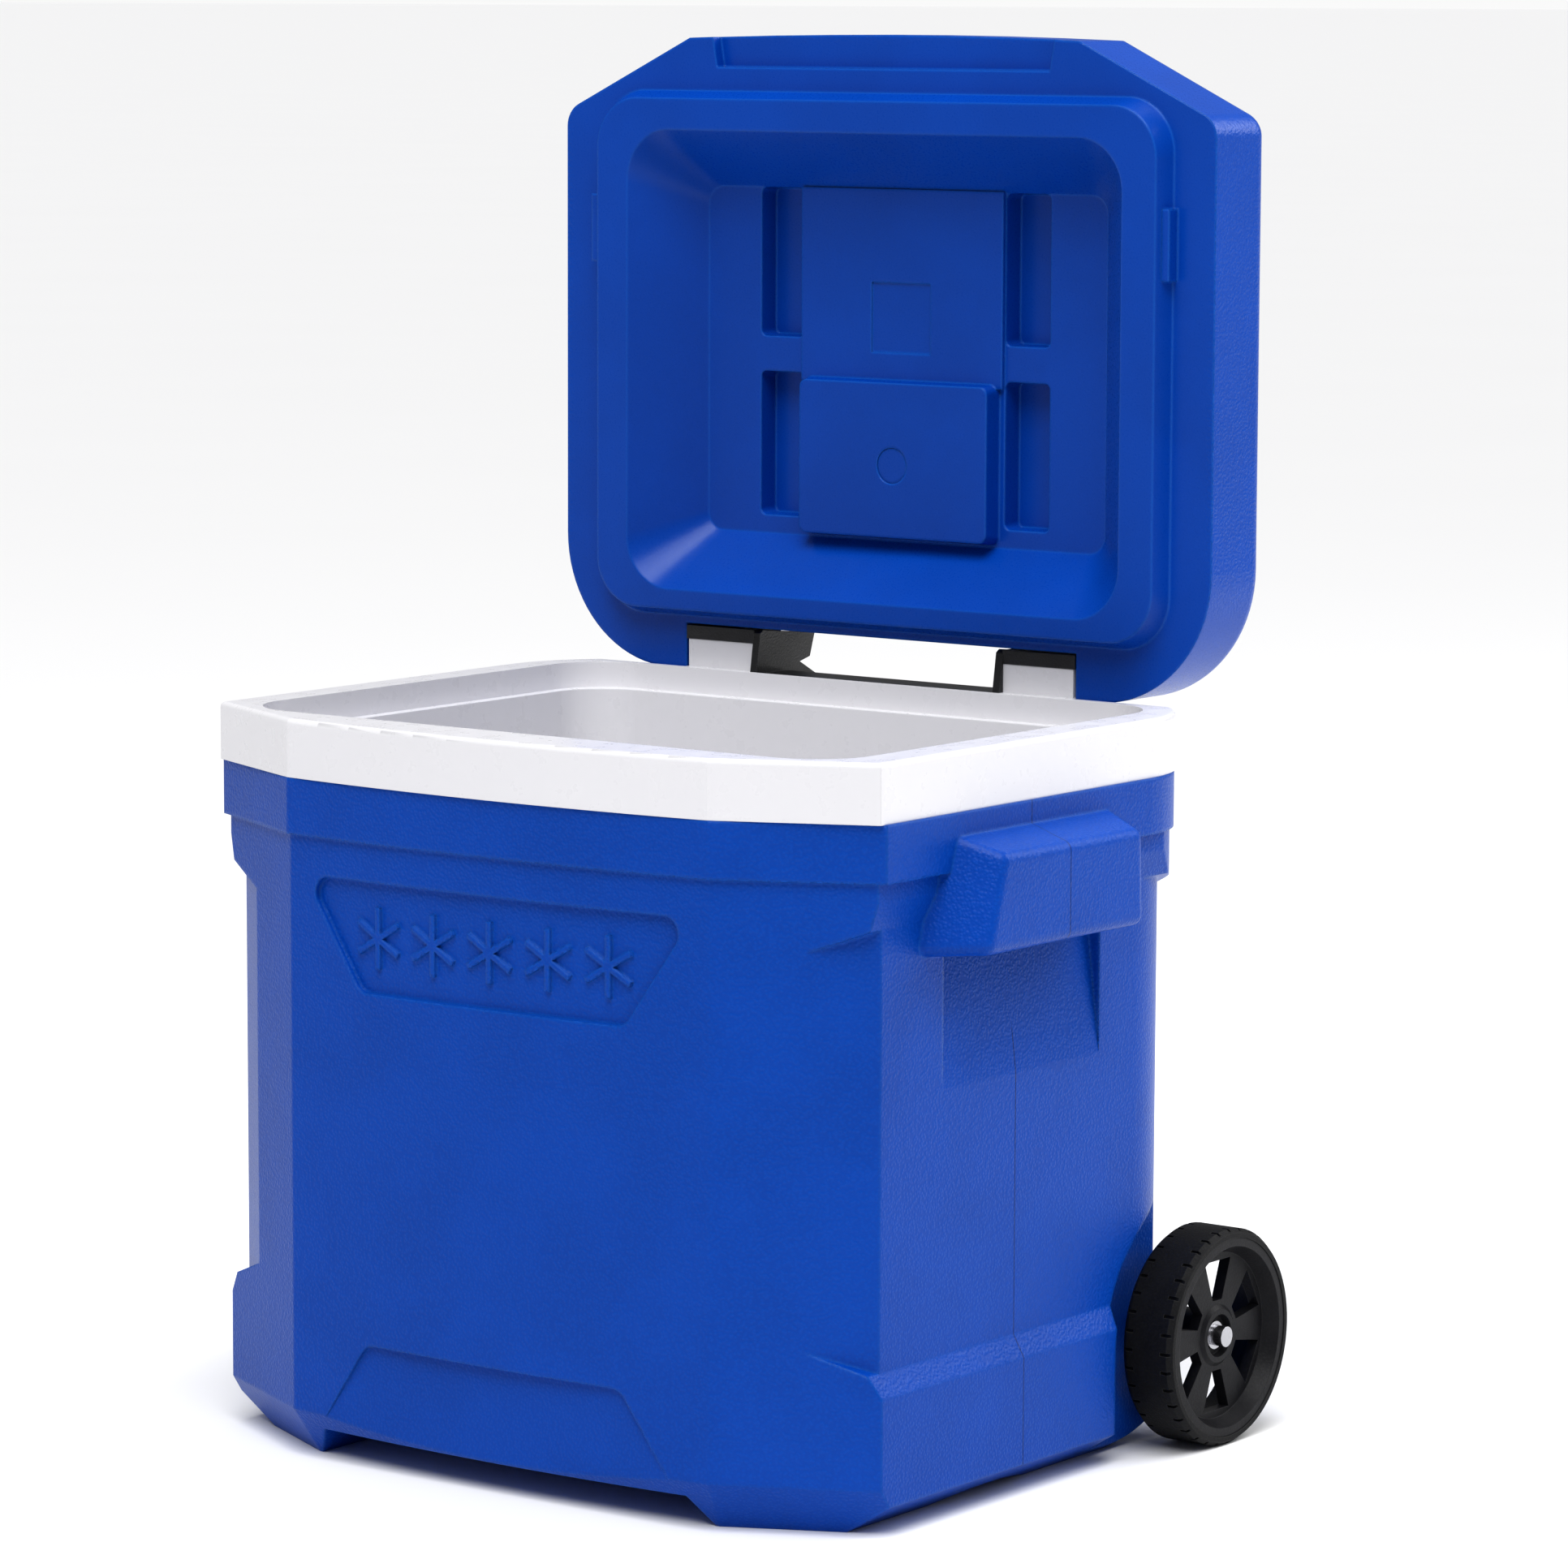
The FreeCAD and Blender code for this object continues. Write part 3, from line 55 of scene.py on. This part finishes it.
def mathOf(tree, operation, first, second=None):
    # each term is a number or a (node, output) pair
    node = addNode(tree, "ShaderNodeMath", {"operation": operation})
    for slot, term in enumerate((first, second)):
        if isinstance(term, tuple):
            tree.links.new(term[0].outputs[term[1]], node.inputs[slot])
        elif term is not None:
            node.inputs[slot].default_value = term
    return node


colourMix = {"low": 6, "high": 7, "result": 2}  # where the colour sockets stand on a mix node


def mixColour(tree, factor, low, high, amount=1.0):
    # low and high are colours or (node, output) pairs
    mix = addNode(tree, "ShaderNodeMix", {"data_type": "RGBA"})
    if amount < 1.0:
        factor = (mathOf(tree, "MULTIPLY", factor, amount), 0)
    tree.links.new(factor[0].outputs[factor[1]], mix.inputs[0])
    for end, colour in (("low", low), ("high", high)):
        socket = mix.inputs[colourMix[end]]
        if isinstance(colour[0], bpy.types.Node):
            tree.links.new(colour[0].outputs[colour[1]], socket)
        else:
            socket.default_value = (*colour, 1)
    return mix


# how alike the rounded and the flat normal are, from a corner to an open face; the corner end paints the
# paler edge colour, partly edge wear and partly a painted highlight
cornerLook = {"samples": 4, "alike": (0.80, 0.995)}


def softEdges(tree, radius):
    # a rounded normal along every moulded corner, and a mask of those corners
    rounded = addNode(tree, "ShaderNodeBevel", {"samples": cornerLook["samples"]}, {"Radius": radius})
    flat = addNode(tree, "ShaderNodeNewGeometry")
    alike = addNode(tree, "ShaderNodeVectorMath", {"operation": "DOT_PRODUCT"})
    wire(tree, rounded, "Normal", alike, 0)
    wire(tree, flat, "Normal", alike, 1)
    corner = rangeOf(tree, alike, "Value", *cornerLook["alike"], 1.0, 0.0)
    return rounded, corner


def raiseBump(tree, height, output, depth, normalFrom):
    bump = addNode(tree, "ShaderNodeBump", None, {"Strength": 1.0, "Distance": depth})
    wire(tree, height, output, bump, "Height")
    wire(tree, normalFrom, "Normal", bump, "Normal")
    return bump


# what every moulded plastic shares: pebbles of the mould's grain, a fine tooth, and slow clouds of tone
mouldLook = {
    "pebbleBlend": 0.55,
    "fineDetail": 3.0, "fineRoughness": 0.6,
    "cloudDetail": 4.0, "cloudRoughness": 0.55,
    "cloudSpan": (0.35, 0.65), "crestSpan": (0.05, 0.75), "shineSpan": (0.3, 0.7),
    "coatRoughness": 0.25,
}


def mouldedPlastic(name, finish, grainMask=None, lineMask=None):
    material, tree, shader = startMaterial(name, finish["colour"])
    look = mouldLook
    place = addNode(tree, "ShaderNodeTexCoord")
    pebbles = addNode(tree, "ShaderNodeTexVoronoi", {"feature": "SMOOTH_F1"},
                      {"Scale": 1 / finish["pebble"], "Smoothness": look["pebbleBlend"], "Randomness": 1.0})
    fine = addNode(tree, "ShaderNodeTexNoise", None,
                   {"Scale": 1 / finish["fine"], "Detail": look["fineDetail"],
                    "Roughness": look["fineRoughness"]})
    cloud = addNode(tree, "ShaderNodeTexNoise", None,
                    {"Scale": 1 / finish["cloud"], "Detail": look["cloudDetail"],
                     "Roughness": look["cloudRoughness"]})
    for texture in (pebbles, fine, cloud):
        wire(tree, place, "Object", texture, "Vector")
    rounded, corner = softEdges(tree, finish["edge"])

    # colour: clouds first, then paler grain tops, paler corners (edge wear plus a painted highlight) and the
    # mould's seam
    tone = mixColour(tree, (rangeOf(tree, cloud, "Fac", *look["cloudSpan"], 0, 1), 0),
                     finish["deep"], finish["colour"])
    crest = rangeOf(tree, pebbles, "Distance", *look["crestSpan"], 1.0, 0.0)
    if grainMask:
        crest = mathOf(tree, "MULTIPLY", (crest, 0), (grainMask(tree, place), 0))
    last = colourMix["result"]
    tone = mixColour(tree, (crest, 0), (tone, last), finish["crest"], finish["crestMix"])
    # corners painted paler: partly edge wear, partly a painted highlight along every edge
    tone = mixColour(tree, (corner, 0), (tone, last), finish["wornHighlightEdge"], finish["wornHighlightMix"])
    if lineMask:
        tone = mixColour(tree, (lineMask(tree, place), 0), (tone, last), finish["line"])
    wire(tree, tone, last, shader, "Base Color")

    # shine: handled corners are smoother
    shine = rangeOf(tree, fine, "Fac", *look["shineSpan"], *finish["roughness"])
    polished = mathOf(tree, "MULTIPLY", (corner, 0), -finish["polish"])
    shine = mathOf(tree, "ADD", (shine, 0), (polished, 0))
    wire(tree, shine, 0, shader, "Roughness")

    coarse = raiseBump(tree, crest, 0, finish["pebbleDepth"], rounded)
    small = raiseBump(tree, fine, "Fac", finish["fineDepth"], coarse)
    wire(tree, small, "Normal", shader, "Normal")
    shader.inputs["Specular IOR Level"].default_value = finish["specular"]
    shader.inputs["Coat Weight"].default_value = finish.get("coat", 0.0)
    shader.inputs["Coat Roughness"].default_value = finish.get("coatRoughness", look["coatRoughness"])
    return material


# what every drawn or turned metal shares
metalLook = {"lineDetail": 3.0, "smudgeDetail": 3.0, "smudgeSpan": (0.3, 0.7), "wornHighlightMix": 0.5}


def turnedMetal(name, finish):
    material, tree, shader = startMaterial(name, finish["colour"])
    look = metalLook
    place = addNode(tree, "ShaderNodeTexCoord")
    stretch = addNode(tree, "ShaderNodeMapping")
    stretch.inputs["Scale"].default_value = finish["lines"]
    wire(tree, place, "Object", stretch, "Vector")
    lines = addNode(tree, "ShaderNodeTexNoise", None, {"Scale": 1.0, "Detail": look["lineDetail"]})
    wire(tree, stretch, "Vector", lines, "Vector")
    smudge = addNode(tree, "ShaderNodeTexNoise", None,
                     {"Scale": finish["smudge"], "Detail": look["smudgeDetail"]})
    wire(tree, place, "Object", smudge, "Vector")
    rounded, corner = softEdges(tree, finish["edge"])
    last = colourMix["result"]
    tone = mixColour(tree, (lines, 0), finish["deep"], finish["colour"])
    # corners painted paler: partly edge wear, partly a painted highlight along every edge
    tone = mixColour(tree, (corner, 0), (tone, last), finish["wornHighlightEdge"], look["wornHighlightMix"])
    wire(tree, tone, last, shader, "Base Color")
    shine = rangeOf(tree, smudge, "Fac", *look["smudgeSpan"], *finish["roughness"])
    wire(tree, shine, 0, shader, "Roughness")
    bump = raiseBump(tree, lines, 0, finish["depth"], rounded)
    wire(tree, bump, "Normal", shader, "Normal")
    shader.inputs["Metallic"].default_value = 1.0
    shader.inputs["Anisotropic"].default_value = finish["anisotropy"]
    return material


def dress(material, *names):
    for name in names:
        slots = parts[name].data.materials
        if not slots:
            slots.append(material)
        for index in range(len(slots)):
            slots[index] = material


# pebble-grained blow-moulded body
shellFinish = {
    "colour": (0.0, 0.056, 0.35), "deep": (0.0, 0.051, 0.32),
    "crest": (0.003, 0.082, 0.44), "crestMix": 0.35,
    "wornHighlightEdge": (0.010, 0.13, 0.54), "wornHighlightMix": 0.55,
    "pebble": 0.0015, "pebbleDepth": 0.00013, "fine": 0.0005, "fineDepth": 0.00003, "cloud": 0.05,
    "edge": 0.0024, "roughness": (0.30, 0.42), "polish": 0.08, "specular": 0.17,
    "line": (0.0, 0.020, 0.13),
    "lineBack": -0.03075, "lineHalf": 0.00022, "lineFade": 2.2,  # the seam's place, half width and soft edge
    "lineFrom": 0.181, "lineStart": 0.001,  # drawn only this far out to each side, and how fast it starts
}


def shellLine(tree, place):
    # thin mould seam down both sides, just in front of the middle
    split = addNode(tree, "ShaderNodeSeparateXYZ")
    wire(tree, place, "Object", split, "Vector")
    half = shellFinish["lineHalf"]
    away = mathOf(tree, "ABSOLUTE", (mathOf(tree, "SUBTRACT", (split, "Y"), shellFinish["lineBack"]), 0))
    near = rangeOf(tree, away, 0, half, half * shellFinish["lineFade"], 1.0, 0.0)
    reach = shellFinish["lineFrom"]
    side = rangeOf(tree, mathOf(tree, "ABSOLUTE", (split, "X")), 0,
                   reach - shellFinish["lineStart"], reach, 0.0, 1.0)
    return mathOf(tree, "MULTIPLY", (near, 0), (side, 0))


dress(mouldedPlastic("pebble_blue_body", shellFinish, None, shellLine), "outer_shell", "base_foam_plug")
print("body shell grained")


# satin lid: smooth tray inside, grained skin outside
lidFinish = {
    "colour": (0.0, 0.058, 0.365), "deep": (0.0, 0.053, 0.335),
    "crest": (0.003, 0.078, 0.43), "crestMix": 0.30,
    "wornHighlightEdge": (0.014, 0.15, 0.60), "wornHighlightMix": 0.65,
    "pebble": 0.0015, "pebbleDepth": 0.00010, "fine": 0.0011, "fineDepth": 0.00002, "cloud": 0.07,
    "edge": 0.0020, "roughness": (0.26, 0.34), "polish": 0.06, "specular": 0.22,
    "skin": 0.006,  # how far in from the lid's outline the grained skin reaches
    "backFacing": (0.2, 0.4),  # the open lid's outside looks back; grain grows in over this turn
}


def lidGrain(tree, place):
    low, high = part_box("lid_shell")
    split = addNode(tree, "ShaderNodeSeparateXYZ")
    wire(tree, place, "Object", split, "Vector")
    halfWide = (high.x - low.x) / 2
    halfTall = (high.z - low.z) / 2
    middle = (high.z + low.z) / 2
    wide = mathOf(tree, "DIVIDE", (mathOf(tree, "ABSOLUTE", (split, "X")), 0), halfWide)
    tall = mathOf(tree, "ABSOLUTE", (mathOf(tree, "SUBTRACT", (split, "Z"), middle), 0))
    tall = mathOf(tree, "DIVIDE", (tall, 0), halfTall)
    outer = rangeOf(tree, mathOf(tree, "MAXIMUM", (wide, 0), (tall, 0)), 0,
                    1 - lidFinish["skin"] / halfWide, 1, 0.0, 1.0)
    facing = addNode(tree, "ShaderNodeSeparateXYZ")
    wire(tree, place, "Normal", facing, "Vector")
    back = rangeOf(tree, facing, "Y", *lidFinish["backFacing"], 0.0, 1.0)
    return mathOf(tree, "MAXIMUM", (outer, 0), (back, 0))


dress(mouldedPlastic("satin_blue_lid", lidFinish, lidGrain), "lid_shell", "lid_foam_plug")
print("lid finished")


# glossy white lining and its collar
linerFinish = {
    "colour": (0.715, 0.710, 0.735), "deep": (0.708, 0.703, 0.729),
    "crest": (0.722, 0.717, 0.741), "crestMix": 0.3,
    "wornHighlightEdge": (0.74, 0.74, 0.76), "wornHighlightMix": 0.2,
    "pebble": 0.030, "pebbleDepth": 0.000002, "fine": 0.010, "fineDepth": 0.000001, "cloud": 0.06,
    "edge": 0.0006, "roughness": (0.26, 0.34), "polish": 0.04, "specular": 0.4,
    "coat": 0.06, "coatRoughness": 0.15,
}
dress(mouldedPlastic("gloss_white_lining", linerFinish), "inner_liner")

# hinge bracket, foot bracket and tube collars
blackFinish = {
    "colour": (0.014, 0.014, 0.015), "deep": (0.009, 0.009, 0.010),
    "crest": (0.024, 0.024, 0.025), "crestMix": 0.4,
    "wornHighlightEdge": (0.06, 0.06, 0.062), "wornHighlightMix": 0.6,
    "pebble": 0.0010, "pebbleDepth": 0.00006, "fine": 0.0003, "fineDepth": 0.00002, "cloud": 0.02,
    "edge": 0.0005, "roughness": (0.34, 0.46), "polish": 0.10, "specular": 0.5,
}
dress(mouldedPlastic("satin_black_moulding", blackFinish),
      "hinge_bracket", "foot_bracket", "middle_tube_collars")

# softer, coarser black of the pull bar
gripFinish = dict(blackFinish, pebble=0.0016, pebbleDepth=0.00012, roughness=(0.48, 0.62), edge=0.0008)
dress(mouldedPlastic("soft_black_grip", gripFinish), "handle_grip")

# slick grey glides and axle washers
glideFinish = dict(blackFinish, colour=(0.07, 0.07, 0.075), deep=(0.05, 0.05, 0.055), roughness=(0.3, 0.4))
dress(mouldedPlastic("slick_grey_glides", glideFinish),
      "middle_tube_glides", "inner_tube_glides", "axle_washer_left", "axle_washer_right")
print("lining, bracket, grip and glides finished")

# charcoal spoked rim
wheelFinish = {
    "colour": (0.012, 0.012, 0.014), "deep": (0.008, 0.008, 0.010),
    "crest": (0.018, 0.018, 0.020), "crestMix": 0.35,
    "wornHighlightEdge": (0.045, 0.045, 0.048), "wornHighlightMix": 0.6,
    "pebble": 0.0014, "pebbleDepth": 0.00003, "fine": 0.0005, "fineDepth": 0.00002, "cloud": 0.015,
    "edge": 0.0005, "roughness": (0.38, 0.50), "polish": 0.06, "specular": 0.16,
}
dress(mouldedPlastic("charcoal_rim", wheelFinish), "wheel_left", "wheel_right")

# hard rubber tyre, paler on the lug edges: dust plus a painted highlight
tyreFinish = {
    "colour": (0.008, 0.008, 0.009), "deep": (0.006, 0.006, 0.007),
    "crest": (0.015, 0.015, 0.015), "crestMix": 0.4,
    "wornHighlightEdge": (0.05, 0.05, 0.048), "wornHighlightMix": 0.7,
    "pebble": 0.0012, "pebbleDepth": 0.00005, "fine": 0.0004, "fineDepth": 0.00003, "cloud": 0.012,
    "edge": 0.0006, "roughness": (0.46, 0.62), "polish": 0.05, "specular": 0.16,
}
dress(mouldedPlastic("tyre_rubber_dust_and_highlight", tyreFinish), "tyre_left", "tyre_right")
print("wheels and tyres finished")

# rigid insulating foam inside the walls
foamFinish = {
    "colour": (0.80, 0.74, 0.52), "deep": (0.70, 0.62, 0.40),
    "crest": (0.86, 0.81, 0.62), "crestMix": 0.6,
    "wornHighlightEdge": (0.88, 0.84, 0.7), "wornHighlightMix": 0.3,
    "pebble": 0.0012, "pebbleDepth": 0.0004, "fine": 0.0004, "fineDepth": 0.0001, "cloud": 0.03,
    "edge": 0.0006, "roughness": (0.8, 0.95), "polish": 0.0, "specular": 0.3,
}
dress(mouldedPlastic("rigid_foam", foamFinish), "body_foam", "lid_foam")

# plated axle bar and hinge pins, with turned rings spaced along X
axleFinish = {
    "colour": (0.60, 0.60, 0.62), "deep": (0.42, 0.42, 0.44), "wornHighlightEdge": (0.8, 0.8, 0.82),
    "lines": (2500.0, 60.0, 60.0), "smudge": 60.0, "depth": 0.00002, "edge": 0.0003,
    "roughness": (0.24, 0.40), "anisotropy": 0.3,
}
dress(turnedMetal("plated_axle_bar", axleFinish), "axle", "hinge_pin_left", "hinge_pin_right")

# push caps, darker and smoother than the bar
capFinish = dict(axleFinish, colour=(0.46, 0.46, 0.48), deep=(0.34, 0.34, 0.36), roughness=(0.20, 0.32))
dress(turnedMetal("bright_axle_cap", capFinish), "axle_cap_left", "axle_cap_right")

# all the small screws
screwFinish = dict(axleFinish, colour=(0.34, 0.34, 0.35), deep=(0.22, 0.22, 0.23), roughness=(0.28, 0.42))
dress(turnedMetal("dark_screw_steel", screwFinish), "hinge_cap_screws", "guide_screws", "foot_bracket_screws")

# drawn aluminium, lines run up the tube; each stage is paler than the one round it
tubeFinish = {
    "colour": (0.58, 0.59, 0.61), "deep": (0.46, 0.47, 0.49), "wornHighlightEdge": (0.8, 0.8, 0.82),
    "lines": (1800.0, 1800.0, 14.0), "smudge": 35.0, "depth": 0.000015, "edge": 0.0004,
    "roughness": (0.24, 0.38), "anisotropy": 0.5,
    "outerColour": (0.46, 0.47, 0.49), "innerColour": (0.68, 0.69, 0.71),
}
dress(turnedMetal("drawn_outer_tube", dict(tubeFinish, colour=tubeFinish["outerColour"])),
      "outer_tube_left", "outer_tube_right")
dress(turnedMetal("drawn_middle_tube", tubeFinish), "middle_tube_left", "middle_tube_right")
dress(turnedMetal("drawn_inner_tube", dict(tubeFinish, colour=tubeFinish["innerColour"])),
      "inner_tube_left", "inner_tube_right")
print("foam, axle, screws and tubes finished")


studio = {
    "roomLight": 0.26, "backdrop": 0.80,  # strength on the cooler, and as the far wall
    "sunPower": 2.3, "sunSpread": 45.0, "sunFrom": (0.28, -0.62, 1.2),
    "softboxes": {  # place, target, size and power
        "side_softbox": ((1.4, 1.6, 1.6), (0.7, 0.8, 0), (1.6, 1.6), 34),
        "ceiling_softbox": ((0.1, -0.2, 2.1), (0, 0, 0.3), (1.3, 1.3), 12),
    },
}
floorLook = {
    "size": 800.0, "colour": (0.90, 0.90, 0.905), "roughness": 0.7, "specular": 0.1,
    "cloudScale": 1.5, "cloudDetail": 2.0, "cloudShade": 0.985,
}


def layFloor():
    half = floorLook["size"] / 2
    mesh = bpy.data.meshes.new("studio_floor")
    sheet = bmesh.new()
    ring = [sheet.verts.new((x * half, y * half, 0)) for x, y in ((-1, -1), (1, -1), (1, 1), (-1, 1))]
    sheet.faces.new(ring)
    sheet.to_mesh(mesh)
    sheet.free()
    floor = bpy.data.objects.new("studio_floor", mesh)
    bpy.context.collection.objects.link(floor)
    pale = floorLook["colour"]
    material, tree, shader = startMaterial("pale_floor", pale)
    place = addNode(tree, "ShaderNodeTexCoord")
    cloud = addNode(tree, "ShaderNodeTexNoise", None,
                    {"Scale": floorLook["cloudScale"], "Detail": floorLook["cloudDetail"]})
    wire(tree, place, "Object", cloud, "Vector")
    shade = tuple(channel * floorLook["cloudShade"] for channel in pale)
    tone = mixColour(tree, (cloud, 0), shade, pale)
    wire(tree, tone, colourMix["result"], shader, "Base Color")
    shader.inputs["Roughness"].default_value = floorLook["roughness"]
    shader.inputs["Specular IOR Level"].default_value = floorLook["specular"]
    mesh.materials.append(material)


def hangLamp(name, lamp, place, target):
    hung = bpy.data.objects.new(name, lamp)
    bpy.context.collection.objects.link(hung)
    hung.location = place
    hung.rotation_mode = "QUATERNION"
    hung.rotation_quaternion = (Vector(target) - Vector(place)).to_track_quat("-Z", "Y")


def lightStudio():
    world = bpy.data.worlds.new("studio_room")
    world.use_nodes = True
    sky = world.node_tree.nodes["Background"]
    sky.inputs["Color"].default_value = (1, 1, 1, 1)
    # the far wall is as pale as the floor, while it lights the cooler more softly
    path = addNode(world.node_tree, "ShaderNodeLightPath")
    wall = addNode(world.node_tree, "ShaderNodeMapRange", None,
                   {"To Min": studio["roomLight"], "To Max": studio["backdrop"]})
    wire(world.node_tree, path, "Is Camera Ray", wall, "Value")
    wire(world.node_tree, wall, 0, sky, "Strength")
    bpy.context.scene.world = world
    sun = bpy.data.lights.new("wide_key", "SUN")
    sun.energy = studio["sunPower"]
    sun.angle = math.radians(studio["sunSpread"])
    hangLamp("wide_key", sun, studio["sunFrom"], (0, 0, 0))
    for name, (place, target, size, power) in studio["softboxes"].items():
        lamp = bpy.data.lights.new(name, "AREA")
        lamp.shape = "RECTANGLE"
        lamp.size, lamp.size_y = size
        lamp.energy = power
        hangLamp(name, lamp, place, target)


# from the front right corner, looking slightly down
cameraStand = {
    "place": (1.726947, -2.267904, 0.666285),
    "turn": 36.801, "climb": 7.247, "roll": 0.209,  # degrees
    "lens": 141.95, "sensor": 36.0, "clipEnd": 1500,
}


def placeCamera():
    turn, climb, roll = (math.radians(cameraStand[angle]) for angle in ("turn", "climb", "roll"))
    back = Vector((math.sin(turn) * math.cos(climb), -math.cos(turn) * math.cos(climb), math.sin(climb)))
    right = Vector((math.cos(turn), math.sin(turn), 0))
    up = back.cross(right)
    tiltedRight = right * math.cos(roll) + up * math.sin(roll)
    tiltedUp = up * math.cos(roll) - right * math.sin(roll)
    lens = bpy.data.cameras.new("studio_camera")
    lens.lens = cameraStand["lens"]
    lens.sensor_width = cameraStand["sensor"]
    lens.clip_end = cameraStand["clipEnd"]
    camera = bpy.data.objects.new("studio_camera", lens)
    bpy.context.collection.objects.link(camera)
    spin = Matrix((tiltedRight, tiltedUp, back)).transposed().to_4x4()
    camera.matrix_world = Matrix.Translation(cameraStand["place"]) @ spin
    bpy.context.scene.camera = camera


layFloor()
lightStudio()
placeCamera()
bpy.context.scene.view_settings.view_transform = "Standard"
bpy.context.scene.view_settings.look = "Medium High Contrast"
print("floor, lights and camera in place")
